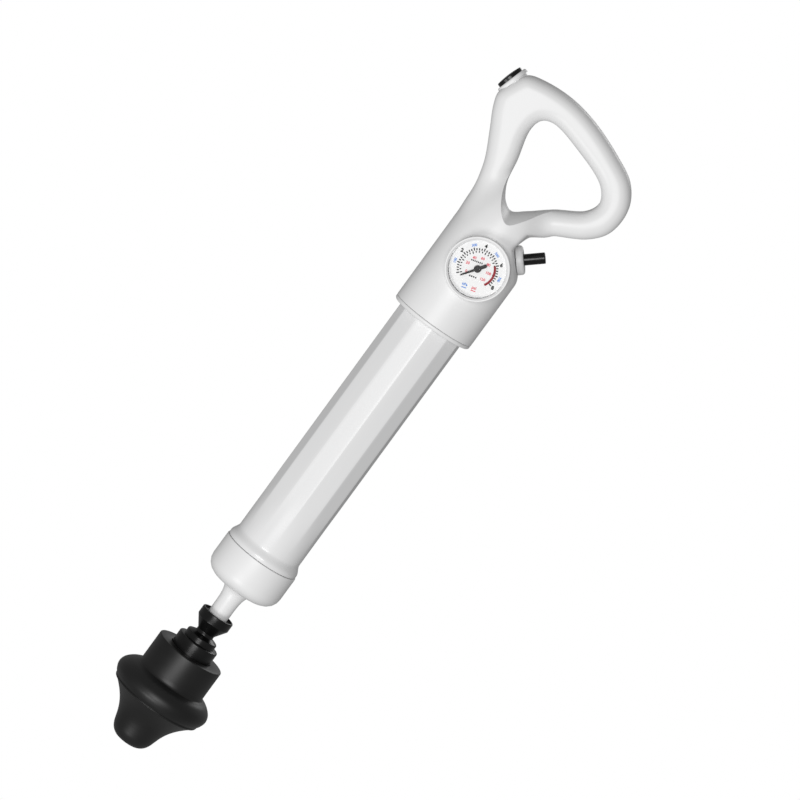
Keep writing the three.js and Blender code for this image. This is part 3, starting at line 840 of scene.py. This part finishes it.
def adapter():
    """Cup, ring, waist, cone and ring, each edge softly broken, with a socket for the spout."""
    low, high = in_mm("outlet_adapter")
    cup = high.x + 0.6
    step = 89
    ring, waist, cone = 12.1, 6.9, 12.6
    bore = SPOUT_RADIUS + GAP
    mouth = high.z - 1.6
    piece = turned("outlet_adapter_turned", [
        (AIR_BORE, low.z), (cup, low.z, 0.5), (cup, step, 1.0), (ring, step + 0.2, 0.4),
        (ring, step + 4.4, 1.2), (waist, step + 6.5, 0.8), (waist, step + 8.7, 0.8),
        (cone, step + 17.2, 0.6), (cone, high.z, 0.8), (11.0, high.z, 0.3), (11.0, mouth, 0.3),
        (bore, mouth, 0.2), (bore, 108.5), (9.2, 108.5), (9.2, 106.3), (bore, 106.3), (bore, 103),
        (AIR_BORE, 103),
    ], segments=112)
    return place(piece, "barrel", "black_plastic", BLACK, "outlet_adapter")


def rubber_head():
    """Tip, bell, flange with its moulded bead, and collar."""
    collar, socket, floor = 26.15, HEAD_SOCKET_RADIUS, HEAD_SOCKET_FLOOR
    top = in_mm("rubber_head")[1].z + 0.8
    tip = smooth_open([(AIR_BORE, 0), (7.4, 0.1), (10.6, 1.1), (13.5, 3.4), (15.5, 6.7), (16.7, 10.2)])
    bell = smooth_open([
        (17.9, 14.2), (19.6, 18.4), (22.0, 22.8), (25.2, 27.2), (28.6, 31.0), (32.6, 34.9),
    ])
    bead = [(33.4, 35.6, 0.15), (34.4, 35.9, 0.3), (34.9, 36.8, 0.3), (34.5, 37.3, 0.15)]
    flange = smooth_open([
        (34.9, 37.7), (36.6, 40.4), (37.7, 44.2), (36.5, 48.3), (32.8, 52.0), (28.8, 54.2), (26.9, 55.2),
        (26.2, 56.4),
    ])
    head = turned("rubber_drain_head", [
        *tip, *bell, *bead, *flange, (collar, floor), (collar, top, 0.9),
        (socket, top, 0.5), (socket, floor), (AIR_BORE, floor),
    ], segments=160, sharp=40)
    return place(head, "barrel", "black_rubber", RUBBER, "rubber_head")


TANK_RADIUS = 17
TANK_BORE = 14.5
SPANNER_NOTCHES = 6
NOTCH_RADIUS = 1.7


def gland_and_tank():
    """What the raised handle shows: the gland nut in the barrel's top and the drawn tank tube."""
    low, high = in_mm("gland_bush")
    rim = in_mm("barrel_tube")[1].z + GAP
    bore, plug, flange = TANK_RADIUS + GAP, BARREL_BORE - GAP, 24
    seat = high.z - 1.2
    gland = turned("gland_nut", [
        (bore, low.z), (plug, low.z), (plug, rim), (flange, rim, 0.3), (flange, high.z, 1.0),
        (19.5, high.z, 0.4), (18.3, seat), (bore, seat),
    ])
    notch_circle = in_mm("bump_washer")[1].x + 1.6
    for k in range(SPANNER_NOTCHES):
        angle = FULL_TURN * k / SPANNER_NOTCHES
        outward = Vector((math.cos(angle), math.sin(angle), 0))
        spot = Matrix.Translation(outward * notch_circle * MM)
        cut(gland, disc_tool(NOTCH_RADIUS, rim - 0.2, high.z + 1, spot, 24))
    finish_mesh(gland)
    place(gland, "barrel", "white_plastic", WHITE, "gland_bush")
    low, high = in_mm("tank_tube")
    tube = turned("tank_tube_drawn", [
        (TANK_BORE, low.z), (TANK_RADIUS, low.z), (TANK_RADIUS, high.z), (TANK_BORE, high.z),
    ])
    place(tube, "handle", "aluminium", ALUMINIUM, "tank_tube")


# ---------------------------------------------------------------- gauge

# Angles are in degrees, clockwise from the barrel's up direction. The needle's stop is below zero.
ZERO_ANGLE = -136.0
NEEDLE_STOP = -145.0
DEGREES_PER_UNIT = 30.25
DIAL_TURN = -16.0
SCALE_END = 8
UNITS_PER_PSI = 0.0703
UNITS_PER_KPA = 0.0102
DIAL_Z = -in_mm("gauge_dial")[0].y
DIAL_RADIUS = 20
RECESS_Z = 36.9
INK = 0.05


def polar(radius, degrees):
    """A point on the dial, with the angle clockwise from the barrel's up direction."""
    angle = math.radians(degrees)
    return radius * math.sin(angle), radius * math.cos(angle)


def scale_angle(value):
    """Angle of a value on the outer scale."""
    return ZERO_ANGLE + DEGREES_PER_UNIT * value


def psi_angle(value):
    """Angle of a value in psi."""
    return scale_angle(value * UNITS_PER_PSI)


def kpa_angle(value):
    """Angle of a value in kPa."""
    return scale_angle(value * UNITS_PER_KPA)


def radial_bar(inner, outer, degrees, width):
    """Corners of a straight tick between two radii."""
    (x0, y0), (x1, y1) = polar(inner, degrees), polar(outer, degrees)
    px, py = polar(width / 2, degrees + 90)
    return [(x0 - px, y0 - py), (x0 + px, y0 + py), (x1 + px, y1 + py), (x1 - px, y1 - py)]


def arc_band(inner, outer, start, end, steps=40):
    """Outline of a band between two radii and two angles in degrees."""
    angles = [start + (end - start) * k / steps for k in range(steps + 1)]
    return [polar(inner, a) for a in angles] + [polar(outer, a) for a in reversed(angles)]


def joined(name, pieces):
    """One object from several, deleting them."""
    bm = bmesh.new()
    for piece in pieces:
        bm.from_mesh(piece.data)
        bpy.data.objects.remove(piece)
    mesh = bpy.data.meshes.new(name)
    bm.to_mesh(mesh)
    bm.free()
    obj = bpy.data.objects.new(name, mesh)
    bpy.context.scene.collection.objects.link(obj)
    return obj


def printed_bars(name, outlines, material, lift=0.0):
    """Flat raised print from outlines on the dial."""
    low = DIAL_Z + lift
    bars = [extruded("bar", o, low, low + INK, GAUGE) for o in outlines]
    return place(joined(name, bars), "handle", "dial_face", material)


def printed_words(name, words, material, weight=0.07):
    """Small raised print: each word is its text, dial position, size and turn in degrees."""
    made = []
    for text, (x, y), size, degrees in words:
        curve = bpy.data.curves.new("word", "FONT")
        curve.body = text
        curve.align_x = "CENTER"
        curve.align_y = "CENTER"
        curve.size = size * MM
        curve.extrude = INK / 2 * MM
        curve.offset = weight * MM
        curve.resolution_u = 3
        word = bpy.data.objects.new("word", curve)
        bpy.context.scene.collection.objects.link(word)
        bpy.context.view_layer.update()
        mesh = bpy.data.meshes.new_from_object(word.evaluated_get(bpy.context.evaluated_depsgraph_get()))
        bpy.data.objects.remove(word)
        spot = Matrix.Translation(Vector((x, y, DIAL_Z + INK / 2)) * MM)
        mesh.transform(GAUGE @ spot @ Matrix.Rotation(-math.radians(degrees), 4, "Z"))
        obj = bpy.data.objects.new("word", mesh)
        bpy.context.scene.collection.objects.link(obj)
        made.append(obj)
    return place(joined(name, made), "handle", "dial_face", material)


def on_dial(x, y):
    """A point given square to the dial's own up direction."""
    angle = math.radians(DIAL_TURN)
    return x * math.cos(angle) + y * math.sin(angle), -x * math.sin(angle) + y * math.cos(angle)


def dial_ticks():
    """Four ticks to a unit outside, one for each 5 psi inside."""
    outer, middle, inner = 14.9, 12.7, 10.9
    per_unit = 4
    ticks = []
    for k in range(SCALE_END * per_unit + 1):
        reach = outer if k % per_unit == 0 else outer - 0.5
        ticks.append(radial_bar(middle + 0.2, reach, scale_angle(k / per_unit), 0.85))
    for psi in range(0, 116, 5):
        reach = inner if psi % 20 == 0 else inner + 0.4
        ticks.append(radial_bar(reach, middle - 0.2, psi_angle(psi), 0.75))
    return ticks


def dial_rules():
    """Short dashes where a dial has small words: x from and to, y, and how many."""
    half = 0.55
    dashes = []
    for x0, x1, y, count in ((-6.4, 2.4, 4.6, 7), (-4.0, 1.8, -6.1, 4)):
        pitch = (x1 - x0) / count
        for k in range(count):
            left, right = x0 + k * pitch, x0 + (k + 0.66) * pitch
            corners = ((left, y - half), (right, y - half), (right, y + half), (left, y + half))
            dashes.append([on_dial(*c) for c in corners])
    return dashes


def dial_print():
    """Ticks, arcs and numbers of a plain pressure scale in three units."""
    printed_bars("dial_ticks", dial_ticks(), INK_BLACK)
    red_zone = arc_band(11.2, 12.8, scale_angle(6), scale_angle(8.5))
    printed_bars("dial_red_zone", [red_zone], INK_RED, INK)
    printed_bars("dial_unit_rules", dial_rules(), INK_BLACK)
    numbers = [(str(v), polar(16.7, scale_angle(v)), 3.6, DIAL_TURN) for v in (2, 4, 6, 8)]
    printed_words("dial_numbers_black", numbers, INK_BLACK, 0.2)
    psi = [(str(v), polar(8.0, psi_angle(v)), 2.7, DIAL_TURN) for v in range(0, 121, 20)]
    psi.append(("psi", on_dial(2.2, -13.2), 3.0, DIAL_TURN))
    printed_words("dial_numbers_red", psi, INK_PINK)
    kpa = [(str(v), polar(16.5, kpa_angle(v)), 2.5, kpa_angle(v)) for v in (100, 300, 500, 700)]
    kpa.append(("kPa", on_dial(-4.6, -13.0), 2.7, DIAL_TURN))
    printed_words("dial_numbers_blue", kpa, INK_BLUE)
    for x, y, material, label in ((-4.6, -15.2, INK_BLUE, "blue"), (2.2, -15.4, INK_PINK, "red")):
        corners = ((-1.7, -0.3), (1.7, -0.3), (1.7, 0.3), (-1.7, 0.3))
        rule = [on_dial(x + dx, y + dy) for dx, dy in corners]
        printed_bars(f"dial_rule_{label}", [rule], material)


def gauge():
    """Bezel on its boss, dial card, window and print."""
    front = GAUGE_FRONT
    step = DIAL_RADIUS + 0.5
    bezel = turned("gauge_bezel_ring", [
        (step, BEZEL_BACK), (GAUGE_RADIUS, BEZEL_BACK, 0.15), (GAUGE_RADIUS, front, 1.3),
        (20.3 + front - RECESS_Z, front, 0.6), (DIAL_RADIUS + 0.1, RECESS_Z, 0.2), (step, RECESS_Z),
    ], GAUGE, 160)
    place(bezel, "handle", "white_plastic", WHITE, "gauge_bezel")
    low, high = -in_mm("gauge_dial")[1].y, DIAL_Z
    edge = DIAL_RADIUS
    card = turned("gauge_dial_card", [(1, low), (edge, low), (edge, high, 0.1), (1, high)], GAUGE)
    place(card, "handle", "dial_face", CARD, "gauge_dial")
    low, high = -in_mm("gauge_lens")[1].y, -in_mm("gauge_lens")[0].y
    rim = DIAL_RADIUS + 0.05
    lens = turned("gauge_window", [(0, low), (rim, low), (rim, high, 0.15), (0, high)], GAUGE)
    place(lens, "handle", "lens", LENS, "gauge_lens")
    dial_print()


def needle():
    """Thin pointer, fat short tail and a domed hub, lying on the stop."""
    turn = GAUGE @ Matrix.Rotation(-math.radians(NEEDLE_STOP), 4, "Z")
    blade_z = 34.9
    blade = [(-0.95, 0), (-0.5, 12.4), (0, 12.8), (0.5, 12.4), (0.95, 0)]
    tail = [
        (0.8, 0), (1.2, -3), (1.25, -6.0), (0.8, -6.8), (-0.8, -6.8), (-1.25, -6.0), (-1.2, -3), (-0.8, 0),
    ]
    pointer = extruded("needle_blade", blade, blade_z, blade_z + 0.45, turn, 0.08)
    balance = extruded("needle_tail", tail, blade_z, blade_z + 0.55, turn, 0.1)
    hub = turned("needle_hub", [
        (0, 26), (0.7, 26), (0.7, 34.7), (2.6, 34.7, 0.2), (2.6, 35.7, 0.4), (1.4, 35.7),
        (1.3, 36.0, 0.2), (0, 36.0),
    ], GAUGE, 64)
    whole = joined("gauge_pointer", [pointer, balance, hub])
    whole.data.shade_smooth()
    whole.data.set_sharp_from_angle(angle=math.radians(35))
    place(whole, "gauge_needle", "needle_black", NEEDLE, "gauge_needle")


# ---------------------------------------------------------------- thumb button and relief valve


def thumb_valve():
    """White collar and a black button with a low dome; its foot is a pin inside the spring."""
    sleeve, flange = THUMB_SLEEVE_RADIUS, THUMB_COLLAR_RADIUS
    guide, stem, pin, rim = 4.3, 4, 2.2, 9.8
    collar = turned("thumb_button_collar", [
        (guide, -4), (sleeve, -4), (sleeve, GAP), (flange, GAP, 0.2), (flange - 0.2, 2.4, 0.8),
        (11.3, 3.2, 0.4), (10.1, 3.2, 0.2), (10.1, 1.2), (9.8, -2.7), (guide, -2.7),
    ], THUMB)
    place(collar, "handle", "white_plastic", WHITE, "thumb_collar")
    dome = smooth_open([(8.7, 6.05), (5.5, 6.4), (2.5, 6.6), (0, 6.65)])
    button = turned("thumb_button_cap", [
        (0, -10), (pin, -10, 0.4), (pin, -4.6), (stem, -4.6), (stem, 1.6), (rim, 1.6, 0.3),
        (rim, 5.8, 0.9), *dome,
    ], THUMB)
    place(button, "thumb_button", "black_plastic", BLACK, "thumb_button")


def relief_valve():
    """White rounded collar and a black stem; its foot is a pin inside the spring."""
    outer, guide, stem, pin = RELIEF_COLLAR_RADIUS, 4.15, 4.0, 1.8
    collar = turned("relief_valve_collar", [
        (guide, -5.2), (outer, -5.2, 0.3), (outer, 0, 3.2), (6.0, 0, 0.4), (5.6, -0.5, 0.3),
        (guide, -0.5, 0.2),
    ], RELIEF)
    place(collar, "handle", "white_plastic", WHITE, "relief_collar")
    button = turned("relief_valve_stem", [
        (0, -8), (pin, -8, 0.4), (pin, -3.8), (stem, -3.8), (stem, 14.9, 0.5), (1.6, 14.9, 0.2),
        (1.4, 14.4, 0.2), (0, 14.4),
    ], RELIEF, 96)
    place(button, "relief_stem", "black_plastic", BLACK, "relief_stem")


# ---------------------------------------------------------------- studio and camera

LENS_MM = 202.5
CAMERA_DISTANCE = 3.15
CAMERA_ELEVATION = math.radians(8)
CAMERA_ROLL = math.radians(36.2)
AIM_OFFSET = Vector((0.0118, 0, 0.0347))
SENSOR_MM = 36
# How strongly the white surroundings light the pump, next to the white that the camera sees.
AMBIENT = 0.26
# Softboxes: name, place, size, watts and what they point at.
SOFTBOXES = [
    ("front_softbox", (-0.1, -2.6, 0.5), (1.2, 1.2), 31, (0, 0, 0.3)),
    ("low_softbox", (-0.45, -2.0, -1.1), (0.9, 0.9), 20, (0, 0, 0.1)),
    ("back_softbox", (0.5, 2.2, 1.5), (0.9, 0.9), 6, (0, 0, 0.3)),
]


def camera():
    """Long lens in front and a little above, rolled so that the pump lies aslant in the picture."""
    low, high = cad_bounds
    aim = (Vector(low) + Vector(high)) / 2
    aim.y = 0
    aim += AIM_OFFSET
    away = Vector((0, -math.cos(CAMERA_ELEVATION), math.sin(CAMERA_ELEVATION)))
    data = bpy.data.cameras.new("camera")
    data.lens = LENS_MM
    data.sensor_width = SENSOR_MM
    data.clip_end = 100
    obj = bpy.data.objects.new("camera", data)
    look = (-away).to_track_quat("-Z", "Y").to_matrix().to_4x4()
    spot = Matrix.Translation(aim + away * CAMERA_DISTANCE)
    obj.matrix_world = spot @ look @ Matrix.Rotation(CAMERA_ROLL, 4, "Z")
    bpy.context.scene.collection.objects.link(obj)
    bpy.context.scene.camera = obj


def area_light(name, spot, size, power, aim):
    """A softbox at a spot, turned towards its aim; all in metres and watts."""
    data = bpy.data.lights.new(name, "AREA")
    data.shape = "RECTANGLE"
    data.size, data.size_y = size
    data.energy = power
    obj = bpy.data.objects.new(name, data)
    toward = Vector(aim) - Vector(spot)
    obj.matrix_world = Matrix.Translation(Vector(spot)) @ toward.to_track_quat("-Z", "Y").to_matrix().to_4x4()
    bpy.context.scene.collection.objects.link(obj)


def studio():
    """White surroundings that light the pump only softly, and the softboxes."""
    world = bpy.data.worlds.new("studio")
    bpy.context.scene.world = world
    world.use_nodes = True
    tree = world.node_tree
    seen = tree.nodes["Background"]
    seen.inputs["Color"].default_value = (1, 1, 1, 1)
    seen.inputs["Strength"].default_value = 1.0
    lit = tree.nodes.new("ShaderNodeBackground")
    lit.inputs["Color"].default_value = (1, 1, 1, 1)
    lit.inputs["Strength"].default_value = AMBIENT
    path = tree.nodes.new("ShaderNodeLightPath")
    mix = tree.nodes.new("ShaderNodeMixShader")
    tree.links.new(path.outputs["Is Camera Ray"], mix.inputs["Fac"])
    tree.links.new(lit.outputs["Background"], mix.inputs[1])
    tree.links.new(seen.outputs["Background"], mix.inputs[2])
    tree.links.new(mix.outputs["Shader"], tree.nodes["World Output"].inputs["Surface"])
    for softbox in SOFTBOXES:
        area_light(*softbox)
    bpy.context.scene.view_settings.view_transform = "Standard"


camera()
studio()
dress_cad_nodes()
handle_shells()
sleeve_mouth()
screws()
barrel()
end_cap()
spout()
adapter()
rubber_head()
gland_and_tank()
gauge()
needle()
thumb_valve()
relief_valve()
